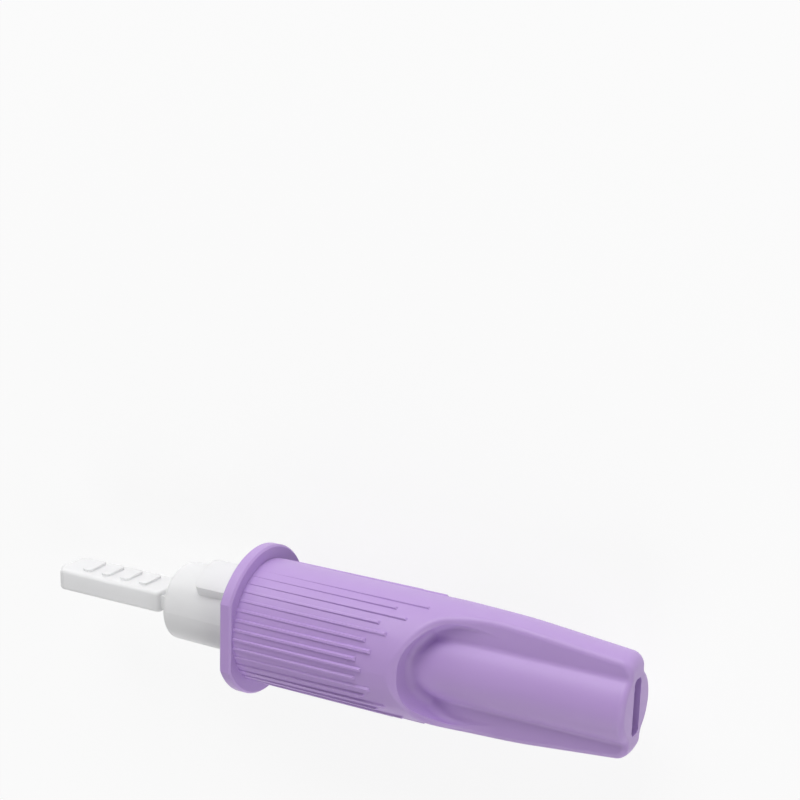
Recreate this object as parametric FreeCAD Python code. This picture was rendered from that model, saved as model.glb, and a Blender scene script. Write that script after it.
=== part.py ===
import FreeCAD, Part
import math
import os

from FreeCAD import Vector

# Safety lancet, lying on a table. Millimetres, +Z up.
# The lancet's axis runs along X: the twist-off cap points to -X, the grip's rear face to +X.
# The finger scoops face up and down. One flat of the flange rests on the table at Z = 0.
# The origin is the middle of the footprint.

# Overall lengths, behind and in front of the flange's front face.
body_length = 37.5
sleeve_reach = 8.1
tab_reach = 21.7
gate_stub_height = 0.7

# Flange round the mouth of the body, with a flat above and below.
flange_radius = 7.0
flange_thickness = 1.2
flange_flat_height = 6.2
flange_edge_break = 0.18

# Barrel and grip of the body. Stations are counted from behind the flange.
# The barrel's draft runs on to the grip's bend, and the grip tapers from there.
barrel_radius = 5.77
grip_bend_station = 25.2
grip_bend_height = 5.58
grip_bend_radius = 60.0
tail_radius = 4.5
tail_corner_radius = 1.2

# Lengthwise ribs above and below, in two interleaved rows of growing length.
# Their crests run level with the axis, so they stand out more and more as the barrel narrows.
rib_crest_radius = 5.88
rib_crest_drop = 0.12
rib_crest_width = 0.18
rib_base_width = 0.5
rib_depth = 0.3
rib_end_bevel = 0.15
rib_pitch_deg = 9.0
ribs_beside_middle = 8
long_rib_length = 13.1
long_rib_growth = 4.55
short_rib_length = 12.3
short_rib_growth = 3.1
rib_growth_power = 1.3

# Finger scoops: a sweep down to a web, and a round-nosed pocket with the tube standing in it.
scoop_start = 15.25
brow_setback = 1.25
brow_height = 5.43
brow_radius = 4.4
shoulder_setback = 3.6
shoulder_height = 2.7
shoulder_bend_radius = 4.0
web_setback = 7.0
web_bend_radius = 15.0
web_half_thickness = 1.63
pocket_start = 16.4
pocket_half_width = 4.7
pocket_nose_radius = 4.3
pocket_foot_fillet = 0.7
core_inset = 0.2
tube_radius = 3.22
grip_edge_fillet = 0.55

# Slot in the rear face.
slot_length = 5.1
slot_width = 1.6
slot_depth = 2.0
slot_wall = 1.0
slot_corner_radius = 0.5

# Bores of the body.
mouth_radius = 4.7
mouth_chamfer = 0.5
pocket_wall = 1.0
snap_groove_depth = 0.3
spring_bore_radius = 2.65
running_clearance = 0.08

# Contact sleeve.
sleeve_front_radius = 3.68
sleeve_radius = 3.78
sleeve_wall = 1.0
sleeve_rim_round = 0.4
sleeve_rim_steps = 3
sleeve_skirt_wall = 0.9
sleeve_travel = 3.5
sleeve_bottom_clearance = 0.9
snap_collar_length = 1.2
diaphragm_reach = 4.1
diaphragm_thickness = 1.0
diaphragm_clearance = 0.2
key_setback = 3.4
key_width = 4.0
key_angle_deg = 68.0
key_corner_radius = 0.5
key_clearance = 0.1
guide_setback = 8.6

# Carrier and its needle.
carrier_travel = 4.0
nose_radius = 1.9
nose_setback = 0.6
nose_length = 4.25
shoulder_length = 2.0
shoulder_clearance = 0.15
stem_core_radius = 1.0
stem_rib_thickness = 0.8
stem_rib_radius = 2.0
piston_length = 2.2
piston_end_clearance = 0.2
tail_rod_radius = 1.2
tail_rod_length = 6.0
needle_radius = 0.18
needle_reach = 2.9
needle_bevel = 1.2
needle_root = 8.0

# Springs.
drive_wire = 0.35
drive_clearance = 0.3
drive_turns = 8.5
return_wire = 0.25
return_clearance = 0.25
return_turns = 5
coil_steps_per_turn = 12
coil_sides = 6

# Twist-off cap.
tab_start = 9.45
tab_width = 4.3
tab_thickness = 2.1
tab_tip_round = 1.0
tab_foot_round = 0.6
tab_edge_round = 0.35
gate_stub_radius = 0.85
gate_stub_tip_radius = 0.62
bar_count = 4
bar_pitch = 2.2
bar_length = 2.7
bar_width = 1.0
bar_height = 0.25
bar_corner = 0.25
bar_setback = 2.5
fin_width = 3.6
fin_thickness = 1.3
cap_core_radius = 1.02
neck_radius = 0.65
neck_length = 0.4
needle_clearance = 0.12

# Stations along X worked out from the lengths above.
overall_length = gate_stub_height + tab_reach + body_length
x_rear = overall_length / 2
x_mouth = x_rear - body_length
x_flange_back = x_mouth + flange_thickness
x_pocket = x_flange_back + pocket_start
x_main_bore_bottom = x_pocket - pocket_wall
x_spring_seat = x_rear - slot_depth - slot_wall
x_sleeve_face = x_mouth - sleeve_reach
x_sleeve_tail = x_main_bore_bottom - sleeve_travel - sleeve_bottom_clearance
x_diaphragm_back = x_mouth - diaphragm_reach
x_nose = x_mouth + nose_setback
x_shoulder = x_nose + nose_length
x_piston = x_main_bore_bottom + carrier_travel + piston_end_clearance
x_piston_back = x_piston + piston_length
x_tab_foot = x_mouth - tab_start
x_tab_tip = x_mouth - tab_reach
shoulder_radius = sleeve_radius - sleeve_skirt_wall - shoulder_clearance
skirt_bore_radius = sleeve_radius - sleeve_skirt_wall
groove_radius = mouth_radius + snap_groove_depth
key_radius = mouth_radius - key_clearance
axis_height = flange_flat_height

origin = Vector(0, 0, 0)
x_axis = Vector(1, 0, 0)


def line(x_from, z_from, x_to, z_to):
    """Straight edge in the XZ plane."""
    return Part.makeLine(Vector(x_from, 0, z_from), Vector(x_to, 0, z_to))


def rounded_line(corners, radii):
    """Edges in the XZ plane along a line with corners, each inner corner rounded by its radius."""
    points = [Vector(x, 0, z) for x, z in corners]
    edges = []
    start = points[0]
    for before, corner, after, radius in zip(points, points[1:], points[2:], radii):
        back = (before - corner).normalize()
        onward = (after - corner).normalize()
        inward = (back + onward).normalize()
        half_bend = (math.pi - back.getAngle(onward)) / 2
        reach = radius * math.tan(half_bend)
        arc_start = corner + back * reach
        arc_middle = corner + inward * (radius / math.cos(half_bend) - radius)
        arc_end = corner + onward * reach
        edges.append(Part.makeLine(start, arc_start))
        edges.append(Part.Arc(arc_start, arc_middle, arc_end).toShape())
        start = arc_end
    edges.append(Part.makeLine(start, points[-1]))
    return edges


def turned(edges):
    """Solid of revolution about the lancet's axis from a closed outline in the XZ plane."""
    return Part.Face(Part.Wire(edges)).revolve(origin, x_axis, 360)


def turned_points(points):
    """Solid of revolution from straight-edged (x, radius) corners."""
    corners = [Vector(x, 0, radius) for x, radius in points]
    return turned(Part.makePolygon(corners + corners[:1]).Edges)


def rod(x_from, x_to, radius):
    """Round rod on the lancet's axis, with its seam at the side."""
    cylinder = Part.makeCylinder(radius, x_to - x_from, Vector(x_from, 0, 0), x_axis)
    cylinder.rotate(origin, x_axis, 90)
    return cylinder


def block(x_from, x_to, width_y, width_z):
    """Square-edged block centred on the lancet's axis."""
    return Part.makeBox(x_to - x_from, width_y, width_z, Vector(x_from, -width_y / 2, -width_z / 2))


def turn_about_axis(shape, degrees):
    """Copy of the shape turned about the lancet's axis."""
    other = shape.copy()
    other.rotate(origin, x_axis, degrees)
    return other


def middle_of(edge):
    return edge.valueAt((edge.FirstParameter + edge.LastParameter) / 2)


def lies_on(shells, point):
    """True if the point lies on one of the shells."""
    tolerance = 0.002
    vertex = Part.Vertex(point)
    return any(vertex.distToShape(shell)[0] < tolerance for shell in shells)


def grip_envelope():
    """Barrel and grip before the scoops are cut: round, and narrowing towards the rear."""
    side = rounded_line(
        [
            (x_mouth, barrel_radius),
            (x_flange_back + grip_bend_station, grip_bend_height),
            (x_rear, tail_radius),
            (x_rear, 0),
        ],
        [grip_bend_radius, tail_corner_radius],
    )
    return turned([line(x_mouth, 0, x_mouth, barrel_radius)] + side + [line(x_rear, 0, x_mouth, 0)])


def scoop_sweep(x_far, z_top):
    """Upper half of the sweep: everything above a line that falls from the barrel to the web."""
    x_start = x_flange_back + scoop_start
    fall = rounded_line(
        [
            (x_start, barrel_radius),
            (x_start + brow_setback, brow_height),
            (x_start + shoulder_setback, shoulder_height),
            (x_start + web_setback, web_half_thickness),
            (x_far, web_half_thickness),
        ],
        [brow_radius, shoulder_bend_radius, web_bend_radius],
    )
    outline = Part.Wire(fall + [
        line(x_far, web_half_thickness, x_far, z_top),
        line(x_far, z_top, x_start, z_top),
        line(x_start, z_top, x_start, barrel_radius),
    ])
    width = 4 * flange_radius
    sweep = Part.Face(outline).extrude(Vector(0, width, 0))
    sweep.translate(Vector(0, -width / 2, 0))
    core_half_width = (tube_radius + pocket_half_width - pocket_foot_fillet) / 2
    across_nose = core_half_width - (pocket_half_width - pocket_nose_radius)
    x_nose_arc = x_pocket + pocket_nose_radius - math.sqrt(pocket_nose_radius ** 2 - across_nose ** 2)
    x_core = x_nose_arc + core_inset
    core = Part.makeBox(x_far - x_core, 2 * core_half_width, z_top, Vector(x_core, -core_half_width, 0))
    return sweep.cut(core)


def scoop_pocket(x_far, z_top):
    """Upper pocket: round-nosed in plan, floored by the web, with the tube left standing in it."""
    floor = web_half_thickness
    pocket = Part.makeBox(
        x_far - x_pocket, 2 * pocket_half_width, z_top - floor,
        Vector(x_pocket, -pocket_half_width, floor),
    )
    upright = [
        edge for edge in pocket.Edges
        if abs(middle_of(edge).x - x_pocket) < 0.01 and abs(abs(middle_of(edge).y) - pocket_half_width) < 0.01
    ]
    pocket = pocket.makeFillet(pocket_nose_radius, upright)
    pocket = pocket.cut(rod(x_mouth, x_far, tube_radius))

    def is_foot(edge):
        middle = middle_of(edge)
        on_floor = abs(middle.z - floor) < 0.01
        on_tube = abs(math.hypot(middle.y, middle.z) - tube_radius) < 0.01
        return middle.x < x_far - 0.01 and (on_floor or on_tube)

    feet = [edge for edge in pocket.Edges if is_foot(edge)]
    return pocket.makeFillet(pocket_foot_fillet, feet)


def scooped_grip():
    """Grip with both finger scoops, and its edges rounded."""
    x_far = x_rear + 1
    z_top = flange_radius + 1
    envelope = grip_envelope()
    sweep = scoop_sweep(x_far, z_top)
    pocket = scoop_pocket(x_far, z_top)
    sweeps = [sweep, turn_about_axis(sweep, 180)]
    pockets = [pocket, turn_about_axis(pocket, 180)]
    grip = envelope.cut(sweeps + pockets).removeSplitter()

    skin = [envelope.Shells[0]]
    cutter_skins = [cutter.Shells[0] for cutter in sweeps + pockets]
    pocket_skins = [cutter.Shells[0] for cutter in pockets]
    x_end = x_flange_back + scoop_start + web_setback + 2

    def is_pocket_rim(middle):
        above_web = abs(middle.z) > web_half_thickness + 0.05
        return middle.x < x_end and above_web and lies_on(pocket_skins, middle)

    outer = []
    for edge in grip.Edges:
        middle = middle_of(edge)
        if lies_on(skin, middle) and lies_on(cutter_skins, middle) and not is_pocket_rim(middle):
            outer.append(edge)
    return grip.makeFillet(grip_edge_fillet, outer)


def rib(length, crest_radius):
    """One rib on top of the barrel: a low ridge with sloping sides and a bevelled rear end."""
    x_start = (x_mouth + x_flange_back) / 2
    x_end = x_flange_back + length
    z_low = crest_radius - rib_depth
    half_crest = rib_crest_width / 2
    half_base = rib_base_width / 2
    section = Part.makePolygon([
        Vector(x_start, -half_base, z_low),
        Vector(x_start, -half_crest, crest_radius),
        Vector(x_start, half_crest, crest_radius),
        Vector(x_start, half_base, z_low),
        Vector(x_start, -half_base, z_low),
    ])
    ridge = Part.Face(section).extrude(Vector(x_end - x_start, 0, 0))
    side = Part.makePolygon([
        Vector(x_start - 1, -1, z_low - 1),
        Vector(x_start - 1, -1, crest_radius + 1),
        Vector(x_end - rib_end_bevel - 1, -1, crest_radius + 1),
        Vector(x_end + 1, -1, crest_radius - rib_end_bevel - 1),
        Vector(x_end + 1, -1, z_low - 1),
        Vector(x_start - 1, -1, z_low - 1),
    ])
    return ridge.common(Part.Face(side).extrude(Vector(0, 2, 0)))


def barrel_ribs():
    """All ribs, above and below. Long and short rows take turns, longer and lower to the sides."""
    ribs = []
    for number in range(-ribs_beside_middle, ribs_beside_middle + 1):
        from_middle = abs(number) / ribs_beside_middle
        if number % 2 == 0:
            length = long_rib_length + long_rib_growth * from_middle ** rib_growth_power
        else:
            length = short_rib_length + short_rib_growth * from_middle ** rib_growth_power
        crest_radius = rib_crest_radius - rib_crest_drop * from_middle ** 2
        one = turn_about_axis(rib(length, crest_radius), number * rib_pitch_deg)
        ribs.append(one)
        ribs.append(turn_about_axis(one, 180))
    return ribs


def flange():
    """Round flange with a flat above and below, its edges broken."""
    disc = rod(x_mouth, x_flange_back, flange_radius)
    plate = disc.common(block(x_mouth - 1, x_flange_back + 1, 3 * flange_radius, 2 * flange_flat_height))
    return plate.makeChamfer(flange_edge_break, [
        edge for edge in plate.Edges
        if abs(middle_of(edge).x - x_mouth) < 0.01 or abs(middle_of(edge).x - x_flange_back) < 0.01
    ])


def body_bores():
    """Mouth, snap groove, main bore and spring bore, as one turned cutter."""
    x_collar_front = x_sleeve_tail - snap_collar_length
    x_groove_front = x_collar_front - running_clearance
    return turned_points([
        (x_mouth - 1, 0),
        (x_mouth - 1, mouth_radius + mouth_chamfer + 1),
        (x_mouth + mouth_chamfer, mouth_radius),
        (x_groove_front, mouth_radius),
        (x_groove_front, groove_radius),
        (x_main_bore_bottom, groove_radius),
        (x_main_bore_bottom, spring_bore_radius),
        (x_spring_seat, spring_bore_radius),
        (x_spring_seat, 0),
    ])


def rear_slot():
    """Slot cutter with rounded corners, in the middle of the rear face."""
    slot = Part.makeBox(
        2 * slot_depth, slot_length, slot_width,
        Vector(x_rear - slot_depth, -slot_length / 2, -slot_width / 2),
    )
    corners = [edge for edge in slot.Edges if abs(middle_of(edge).x - x_rear) < 0.01]
    return slot.makeFillet(slot_corner_radius, corners)


def body_shell():
    outside = scooped_grip().fuse([flange()] + barrel_ribs())
    return outside.cut([body_bores(), rear_slot()]).removeSplitter()


def sleeve_key(setback, degrees):
    """Raised key on the sleeve that guides it in the mouth of the body."""
    x_front = x_sleeve_face + setback
    x_back = x_sleeve_tail - snap_collar_length
    slab = Part.makeBox(x_back - x_front, key_width, key_radius, Vector(x_front, -key_width / 2, 0))
    corners = [
        edge for edge in slab.Edges
        if abs(middle_of(edge).x - x_front) < 0.01 and abs(middle_of(edge).z - key_radius / 2) < 0.01
    ]
    slab = slab.makeFillet(key_corner_radius, corners)
    return turn_about_axis(slab.common(rod(x_front, x_back, key_radius)), degrees)


def contact_sleeve():
    """Tube that is pressed in by the finger: key, snap collar and inner diaphragm included."""
    x_collar_front = x_sleeve_tail - snap_collar_length
    x_diaphragm_front = x_diaphragm_back - diaphragm_thickness
    collar_radius = groove_radius - running_clearance
    hole_radius = nose_radius + diaphragm_clearance
    mouth = sleeve_front_radius - sleeve_wall
    rim = []
    for number in range(sleeve_rim_steps + 1):
        angle = math.pi / 2 * number / sleeve_rim_steps
        rim.append((
            x_sleeve_face + sleeve_rim_round * (1 - math.cos(angle)),
            sleeve_front_radius - sleeve_rim_round * (1 - math.sin(angle)),
        ))
    outside = turned_points([(x_sleeve_face, 0)] + rim + [
        (x_mouth, sleeve_radius),
        (x_collar_front, sleeve_radius),
        (x_collar_front, collar_radius),
        (x_sleeve_tail, collar_radius),
        (x_sleeve_tail, 0),
    ])
    # The key faces sideways and up. The guide opposite starts inside the body.
    key = sleeve_key(key_setback, -key_angle_deg)
    guide = sleeve_key(guide_setback, 180 - key_angle_deg)
    outside = outside.fuse([key, guide])
    inside = turned_points([
        (x_sleeve_face - 1, 0),
        (x_sleeve_face - 1, mouth),
        (x_diaphragm_front, mouth),
        (x_diaphragm_front, hole_radius),
        (x_diaphragm_back, hole_radius),
        (x_diaphragm_back, skirt_bore_radius),
        (x_sleeve_tail + 1, skirt_bore_radius),
        (x_sleeve_tail + 1, 0),
    ])
    return outside.cut(inside).removeSplitter()


def needle():
    """Steel needle with a slanted point."""
    x_tip = x_nose - needle_reach
    steel = rod(x_tip, x_nose + needle_root, needle_radius)
    point = Part.makePolygon([
        Vector(x_tip, -1, -needle_radius),
        Vector(x_tip + needle_bevel, -1, needle_radius),
        Vector(x_tip, -1, needle_radius),
        Vector(x_tip, -1, -needle_radius),
    ])
    return steel.cut(Part.Face(point).extrude(Vector(0, 2, 0)))


def lancet_carrier():
    """Slider that holds the needle: nose, spring shoulder, ribbed stem, piston and tail rod."""
    stem = turned_points([
        (x_nose, 0),
        (x_nose, nose_radius),
        (x_shoulder, nose_radius),
        (x_shoulder, shoulder_radius),
        (x_shoulder + shoulder_length, shoulder_radius),
        (x_shoulder + shoulder_length, stem_core_radius),
        (x_piston, stem_core_radius),
        (x_piston, spring_bore_radius - running_clearance),
        (x_piston_back, spring_bore_radius - running_clearance),
        (x_piston_back, tail_rod_radius),
        (x_piston_back + tail_rod_length, tail_rod_radius),
        (x_piston_back + tail_rod_length, 0),
    ])
    upright = block(x_shoulder + shoulder_length, x_piston, stem_rib_thickness, 2 * stem_rib_radius)
    level = turn_about_axis(upright, 90)
    carrier = stem.fuse([upright, level])
    return carrier.cut(rod(x_nose - 1, x_nose + needle_root, needle_radius)).removeSplitter()


def coil(x_from, x_to, mean_radius, wire, turns):
    """Helical spring between two seats, lofted through wire sections set round the axis."""
    corners = []
    for number in range(coil_sides):
        angle = 2 * math.pi * (number + 0.5) / coil_sides
        corners.append(Vector(wire / 2 * math.sin(angle), 0, mean_radius + wire / 2 * math.cos(angle)))
    section = Part.makePolygon(corners + corners[:1])
    steps = round(turns * coil_steps_per_turn)
    advance = (x_to - x_from - wire) / steps
    sections = []
    for step in range(steps + 1):
        ring = turn_about_axis(section, 360 * step / coil_steps_per_turn)
        ring.translate(Vector(x_from + wire / 2 + step * advance, 0, 0))
        sections.append(ring)
    return Part.makeLoft(sections, True, True)


def drive_spring():
    mean_radius = spring_bore_radius - drive_clearance - drive_wire / 2
    return coil(x_piston_back, x_spring_seat, mean_radius, drive_wire, drive_turns)


def return_spring():
    mean_radius = skirt_bore_radius - return_clearance - return_wire / 2
    return coil(x_diaphragm_back, x_shoulder, mean_radius, return_wire, return_turns)


def grip_bar(x_front):
    """One raised bar on the side face of the tab, its corners cut off."""
    height = tab_thickness / 2 + bar_height
    bar = Part.makeBox(bar_width, height, bar_length, Vector(x_front, 0, -bar_length / 2))
    corners = [edge for edge in bar.Edges if abs(middle_of(edge).y - height / 2) < 0.01]
    return bar.makeChamfer(bar_corner, corners)


def twist_off_cap():
    """Flat tab with grip bars, and a finned stem that covers the needle down to the break-off neck."""
    tab = block(x_tab_tip, x_tab_foot, tab_thickness, tab_width)

    def end_corners(x_end):
        return [
            edge for edge in tab.Edges
            if abs(middle_of(edge).x - x_end) < 0.01 and abs(middle_of(edge).y) < 0.01
        ]

    tip_corners = end_corners(x_tab_tip)
    tab = tab.makeFillet(tab_tip_round, tip_corners)
    foot_corners = end_corners(x_tab_foot)
    tab = tab.makeFillet(tab_foot_round, foot_corners)
    side_edges = [edge for edge in tab.Edges if abs(abs(middle_of(edge).y) - tab_thickness / 2) < 0.01]
    tab = tab.makeFillet(tab_edge_round, side_edges)

    stub = Part.makeCone(
        gate_stub_tip_radius, gate_stub_radius, gate_stub_height + tab_edge_round,
        Vector(x_tab_tip - gate_stub_height, 0, 0), x_axis,
    )
    bars = []
    for number in range(bar_count):
        bar = grip_bar(x_tab_tip + bar_setback + number * bar_pitch)
        bars.append(bar)
        bars.append(turn_about_axis(bar, 180))

    x_neck = x_nose - neck_length
    fins = block(x_tab_foot - tab_foot_round, x_neck, fin_thickness, fin_width)
    core = rod(x_tab_foot - tab_foot_round, x_neck, cap_core_radius)
    neck = rod(x_neck, x_nose, neck_radius)
    cap = tab.fuse([stub, fins, core, neck] + bars)
    x_needle_room = x_nose - needle_reach - needle_clearance
    return cap.cut(rod(x_needle_room, x_nose + 1, needle_radius + needle_clearance)).removeSplitter()


def lay_on_table(shape):
    """The lancet's axis stands one flange flat above the table."""
    placed = shape.copy()
    placed.translate(Vector(0, 0, axis_height))
    return placed


pieces = {
    "body_shell": body_shell,
    "contact_sleeve": contact_sleeve,
    "lancet_carrier": lancet_carrier,
    "needle": needle,
    "drive_spring": drive_spring,
    "return_spring": return_spring,
    "twist_off_cap": twist_off_cap,
}

os.makedirs("parts", exist_ok=True)
for name, make in pieces.items():
    shape = lay_on_table(make())
    print(name, shape.isValid(), len(shape.Solids), "solid", round(shape.Volume, 2), "mm3")
    shape.exportStep("parts/" + name + ".step")
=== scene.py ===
import math

import bpy
from mathutils import Matrix, Vector


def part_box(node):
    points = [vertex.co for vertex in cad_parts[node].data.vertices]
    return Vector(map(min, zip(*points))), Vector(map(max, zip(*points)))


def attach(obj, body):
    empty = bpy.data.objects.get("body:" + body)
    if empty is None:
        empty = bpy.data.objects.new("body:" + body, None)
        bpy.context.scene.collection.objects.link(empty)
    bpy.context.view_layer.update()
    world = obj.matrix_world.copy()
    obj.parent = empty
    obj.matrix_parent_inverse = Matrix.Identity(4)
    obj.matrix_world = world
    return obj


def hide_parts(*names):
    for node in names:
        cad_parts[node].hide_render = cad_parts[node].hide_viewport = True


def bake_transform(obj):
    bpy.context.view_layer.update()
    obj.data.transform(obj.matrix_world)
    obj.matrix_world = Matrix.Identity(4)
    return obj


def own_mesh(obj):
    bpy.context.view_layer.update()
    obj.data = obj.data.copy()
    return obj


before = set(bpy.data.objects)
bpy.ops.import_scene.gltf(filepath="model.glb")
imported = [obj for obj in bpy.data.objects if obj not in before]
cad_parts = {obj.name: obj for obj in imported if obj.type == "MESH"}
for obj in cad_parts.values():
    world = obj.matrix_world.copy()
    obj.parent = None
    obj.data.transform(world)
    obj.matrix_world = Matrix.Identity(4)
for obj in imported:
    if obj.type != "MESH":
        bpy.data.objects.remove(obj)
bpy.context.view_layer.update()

# Camera, found by matching the edges of the part with the photograph.
SENSOR = 36.0
FOCAL_LENGTH = 78.61
CLIP_START = 0.005
CAMERA_PLACE = Vector((0.0742, 0.06076, 0.1349))
CAMERA_RIGHT = Vector((0.8816, 0.0314, -0.471))
CAMERA_BACK = Vector((0.4491, 0.2519, 0.8573))

# Plastics. Colours are screen colours from 0 to 255, and a depth says how far light goes in.
PURPLE = (188, 158, 215)
PURPLE_ROUGHNESS = 0.42
PURPLE_GLOW = 0.25
PURPLE_DEPTH = 0.00012
WHITE = (233, 233, 234)
WHITE_ROUGHNESS = 0.4
WHITE_GLOW = 0.5
WHITE_DEPTH = 0.002
PLASTIC_IOR = 1.5
PLASTIC_SPECULAR = 0.35
SAME_FOR_ALL_COLOURS = (1, 1, 1)
CLOUD_SCALE = 180
CLOUD_DETAIL = 3
CLOUD_DARKEST = 0.97
GRAIN_SCALE = 9000
GRAIN_DETAIL = 2
GRAIN_STRENGTH = 0.15
GRAIN_HEIGHT = 0.00002

# Steel of the needle and the springs.
STEEL_COLOUR = (0.62, 0.62, 0.63, 1)
NEEDLE_ROUGHNESS = 0.15
SPRING_ROUGHNESS = 0.3
ROUGHNESS_SPREAD = 0.1
STREAK_SCALE = 4000
STREAK_DETAIL = 2

# Springs: wire thickness and turns, as in the solids that they stand for.
DRIVE_WIRE = 0.00035
DRIVE_TURNS = 8.5
RETURN_WIRE = 0.00025
RETURN_TURNS = 5
STEPS_PER_TURN = 32
WIRE_SIDES = 10
FULL_TURN = 2 * math.pi
ALONG_AXIS = Vector((1, 0, 0))

# The floor is mostly white near the part, and turns all white between the two distances.
FLOOR_SIZE = 4
FLOOR_COLOUR = (0.9, 0.9, 0.9, 1)
FLOOR_ROUGHNESS = 0.9
FLOOR_WHITENESS = 0.86
FLOOR_FADE_START = 0.04
FLOOR_FADE_END = 0.25

# Square lamps that face the origin: name, place, side and power in watts.
LAMPS = (
    ("key", (-0.05, 0.6, 0.25), 0.4, 3.1),
    ("left", (-0.48, 0.45, 0.12), 0.35, 0.9),
    ("right", (0.56, -0.1, 0.36), 0.35, 1.4),
    ("front", (0, -0.5, 0.35), 0.4, 1.5),
)
ROOM_LIGHT = 0.12
BACKGROUND_LIGHT = 1
PURE_WHITE = (1, 1, 1, 1)


def add_camera():
    back = CAMERA_BACK.normalized()
    up = back.cross(CAMERA_RIGHT).normalized()
    right = up.cross(back)
    data = bpy.data.cameras.new("camera")
    data.sensor_width = SENSOR
    data.lens = FOCAL_LENGTH
    data.clip_start = CLIP_START
    camera = bpy.data.objects.new("camera", data)
    turn = Matrix((right, up, back)).transposed().to_4x4()
    camera.matrix_world = Matrix.Translation(CAMERA_PLACE) @ turn
    bpy.context.collection.objects.link(camera)
    bpy.context.scene.camera = camera


def node_tree(owner):
    """Nodes and links of a material or world."""
    owner.use_nodes = True
    return owner.node_tree.nodes, owner.node_tree.links


def set_inputs(node, values):
    for name, value in values.items():
        node.inputs[name].default_value = value


def add_noise(nodes, links, scale, detail):
    """Noise that is fixed to the piece and moves with it."""
    place = nodes.new("ShaderNodeTexCoord")
    noise = nodes.new("ShaderNodeTexNoise")
    set_inputs(noise, {"Scale": scale, "Detail": detail})
    links.new(place.outputs["Object"], noise.inputs["Vector"])
    return noise.outputs["Fac"]


def moulded_plastic(name, screen_colour, roughness, glow, depth):
    """Satin injection-moulded plastic with a faint cloud in its colour and a fine grain."""
    material = bpy.data.materials.new(name)
    nodes, links = node_tree(material)
    shader = nodes["Principled BSDF"]
    set_inputs(shader, {
        "Roughness": roughness,
        "IOR": PLASTIC_IOR,
        "Specular IOR Level": PLASTIC_SPECULAR,
        "Subsurface Weight": glow,
        "Subsurface Radius": SAME_FOR_ALL_COLOURS,
        "Subsurface Scale": depth,
    })

    colour = linear(screen_colour)
    tint = nodes.new("ShaderNodeMix")
    tint.data_type = "RGBA"
    set_inputs(tint, {"A": (*[CLOUD_DARKEST * part for part in colour], 1), "B": (*colour, 1)})
    links.new(add_noise(nodes, links, CLOUD_SCALE, CLOUD_DETAIL), tint.inputs["Factor"])
    links.new(tint.outputs["Result"], shader.inputs["Base Color"])

    bump = nodes.new("ShaderNodeBump")
    set_inputs(bump, {"Strength": GRAIN_STRENGTH, "Distance": GRAIN_HEIGHT})
    links.new(add_noise(nodes, links, GRAIN_SCALE, GRAIN_DETAIL), bump.inputs["Height"])
    links.new(bump.outputs["Normal"], shader.inputs["Normal"])
    return material


def steel(name, roughness):
    """Bright steel with a gloss that varies a little."""
    material = bpy.data.materials.new(name)
    nodes, links = node_tree(material)
    shader = nodes["Principled BSDF"]
    set_inputs(shader, {"Metallic": 1, "Base Color": STEEL_COLOUR})
    gloss = nodes.new("ShaderNodeMapRange")
    set_inputs(gloss, {"To Min": roughness, "To Max": roughness + ROUGHNESS_SPREAD})
    links.new(add_noise(nodes, links, STREAK_SCALE, STREAK_DETAIL), gloss.inputs["Value"])
    links.new(gloss.outputs["Result"], shader.inputs["Roughness"])
    return material


def linear(screen_colour):
    """Shader colour of a screen colour, by the sRGB curve."""
    def channel(value):
        value /= 255
        return value / 12.92 if value <= 0.04045 else ((value + 0.055) / 1.055) ** 2.4
    return [channel(value) for value in screen_colour]


def white_plastic(name):
    return moulded_plastic(name, WHITE, WHITE_ROUGHNESS, WHITE_GLOW, WHITE_DEPTH)


def make_materials():
    """Material of each CAD node."""
    return {
        "body_shell": moulded_plastic(
            "purple_plastic", PURPLE, PURPLE_ROUGHNESS, PURPLE_GLOW, PURPLE_DEPTH),
        "contact_sleeve": white_plastic("white_sleeve_plastic"),
        "lancet_carrier": white_plastic("white_carrier_plastic"),
        "twist_off_cap": white_plastic("white_cap_plastic"),
        "needle": steel("needle_steel", NEEDLE_ROUGHNESS),
        "drive_spring": steel("drive_spring_steel", SPRING_ROUGHNESS),
        "return_spring": steel("return_spring_steel", SPRING_ROUGHNESS),
    }


def finish_nodes(materials):
    for name, material in materials.items():
        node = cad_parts[name]
        node.data.materials.clear()
        node.data.materials.append(material)


def coil(name, centre, radius, length, wire, turns, phase):
    """Helix of round wire along X, starting at the centre point, with flat cut ends."""
    steps = round(turns * STEPS_PER_TURN)
    points = []
    for step in range(steps + 1):
        turn = phase + FULL_TURN * step / STEPS_PER_TURN
        outward = Vector((0, -math.sin(turn), math.cos(turn)))
        middle = centre + length * step / steps * ALONG_AXIS + radius * outward
        for side in range(WIRE_SIDES):
            angle = FULL_TURN * side / WIRE_SIDES
            direction = math.cos(angle) * outward + math.sin(angle) * ALONG_AXIS
            points.append(middle + wire / 2 * direction)
    faces = [list(range(WIRE_SIDES))]
    for step in range(steps):
        for side in range(WIRE_SIDES):
            beside = (side + 1) % WIRE_SIDES
            near = step * WIRE_SIDES
            far = near + WIRE_SIDES
            faces.append([near + side, far + side, far + beside, near + beside])
    faces.append([steps * WIRE_SIDES + side for side in reversed(range(WIRE_SIDES))])
    mesh = bpy.data.meshes.new(name)
    mesh.from_pydata(points, [], faces)
    for face in mesh.polygons:
        is_end = len(face.vertices) == WIRE_SIDES
        face.use_smooth = not is_end
    piece = bpy.data.objects.new(name, mesh)
    bpy.context.collection.objects.link(piece)
    return piece


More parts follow.
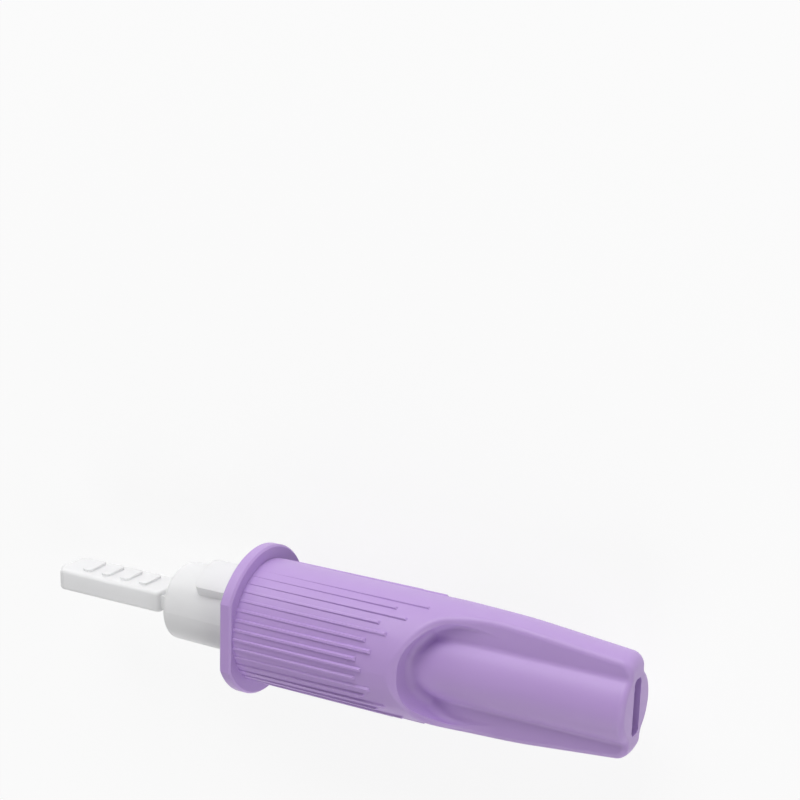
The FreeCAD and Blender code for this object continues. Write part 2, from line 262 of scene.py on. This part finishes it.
def add_drive_spring(material):
    """Coil from the rear seat in the body to the carrier, built once; it keeps this shape when the
    lancet fires.
    """
    low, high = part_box("drive_spring")
    radius = (high.z - low.z - DRIVE_WIRE) / 2
    length = high.x - low.x - DRIVE_WIRE
    start = Vector((low.x + DRIVE_WIRE / 2, 0, (low.z + high.z) / 2))
    drive = coil("drive_coil", start, radius, length, DRIVE_WIRE, DRIVE_TURNS, 0)
    drive.data.materials.append(material)
    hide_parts("drive_spring")
    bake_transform(drive)


def add_return_spring(material):
    """Two coils that meet in the middle, one moving with the sleeve and one with the carrier."""
    low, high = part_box("return_spring")
    radius = (high.z - low.z - RETURN_WIRE) / 2
    start = Vector((low.x + RETURN_WIRE / 2, 0, (low.z + high.z) / 2))
    half = (high.x - low.x - RETURN_WIRE) / 2
    middle = start + half * ALONG_AXIS
    turns = RETURN_TURNS / 2
    front = coil("return_coil_front", start, radius, half, RETURN_WIRE, turns, 0)
    rear = coil("return_coil_rear", middle, radius, half, RETURN_WIRE, turns, FULL_TURN * turns)
    coils = (
        (front, "sleeve", "sleeve_press", low.x),
        (rear, "carrier", "lancet_fire", high.x),
    )
    for piece, body, joint, seat_x in coils:
        piece.data.materials.append(material)
        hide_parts("return_spring")
        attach(piece, body)
        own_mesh(piece)


def add_floor():
    """Pale floor that looks white, and keeps a light shadow."""
    bpy.ops.mesh.primitive_plane_add(size=FLOOR_SIZE)
    floor = bpy.context.object
    floor.name = "floor"
    material = bpy.data.materials.new("pale_floor")
    nodes, links = node_tree(material)
    shader = nodes["Principled BSDF"]
    set_inputs(shader, {"Base Color": FLOOR_COLOUR, "Roughness": FLOOR_ROUGHNESS})
    white = nodes.new("ShaderNodeEmission")
    set_inputs(white, {"Color": PURE_WHITE, "Strength": BACKGROUND_LIGHT})

    path = nodes.new("ShaderNodeLightPath")
    seen = nodes.new("ShaderNodeMath")
    seen.operation = "MAXIMUM"
    links.new(path.outputs["Is Camera Ray"], seen.inputs[0])
    links.new(path.outputs["Is Glossy Ray"], seen.inputs[1])

    place = nodes.new("ShaderNodeTexCoord")
    away = nodes.new("ShaderNodeVectorMath")
    away.operation = "LENGTH"
    links.new(place.outputs["Object"], away.inputs[0])
    fade = nodes.new("ShaderNodeMapRange")
    set_inputs(fade, {
        "From Min": FLOOR_FADE_START,
        "From Max": FLOOR_FADE_END,
        "To Min": FLOOR_WHITENESS,
        "To Max": 1,
    })
    links.new(away.outputs["Value"], fade.inputs["Value"])

    share = nodes.new("ShaderNodeMath")
    share.operation = "MULTIPLY"
    links.new(seen.outputs["Value"], share.inputs[0])
    links.new(fade.outputs["Result"], share.inputs[1])
    mix = nodes.new("ShaderNodeMixShader")
    links.new(share.outputs["Value"], mix.inputs["Fac"])
    links.new(shader.outputs["BSDF"], mix.inputs[1])
    links.new(white.outputs["Emission"], mix.inputs[2])
    links.new(mix.outputs["Shader"], nodes["Material Output"].inputs["Surface"])
    floor.data.materials.append(material)


def add_lamp(name, place, side, power):
    data = bpy.data.lights.new(name, "AREA")
    data.shape = "SQUARE"
    data.size = side
    data.energy = power
    lamp = bpy.data.objects.new(name, data)
    lamp.location = place
    to_origin = -Vector(place)
    lamp.rotation_euler = to_origin.to_track_quat("-Z", "Y").to_euler()
    bpy.context.collection.objects.link(lamp)


def add_world():
    """Soft light from all round, in front of a white background."""
    world = bpy.data.worlds.new("studio")
    nodes, links = node_tree(world)
    light = nodes["Background"]
    set_inputs(light, {"Color": PURE_WHITE, "Strength": ROOM_LIGHT})
    white = nodes.new("ShaderNodeBackground")
    set_inputs(white, {"Color": PURE_WHITE, "Strength": BACKGROUND_LIGHT})
    path = nodes.new("ShaderNodeLightPath")
    mix = nodes.new("ShaderNodeMixShader")
    links.new(path.outputs["Is Camera Ray"], mix.inputs["Fac"])
    links.new(light.outputs["Background"], mix.inputs[1])
    links.new(white.outputs["Background"], mix.inputs[2])
    links.new(mix.outputs["Shader"], nodes["World Output"].inputs["Surface"])
    bpy.context.scene.world = world


bpy.context.scene.view_settings.view_transform = "Standard"
add_camera()
materials = make_materials()
finish_nodes(materials)
add_drive_spring(materials["drive_spring"])
add_return_spring(materials["return_spring"])
add_floor()
for lamp_settings in LAMPS:
    add_lamp(*lamp_settings)
add_world()
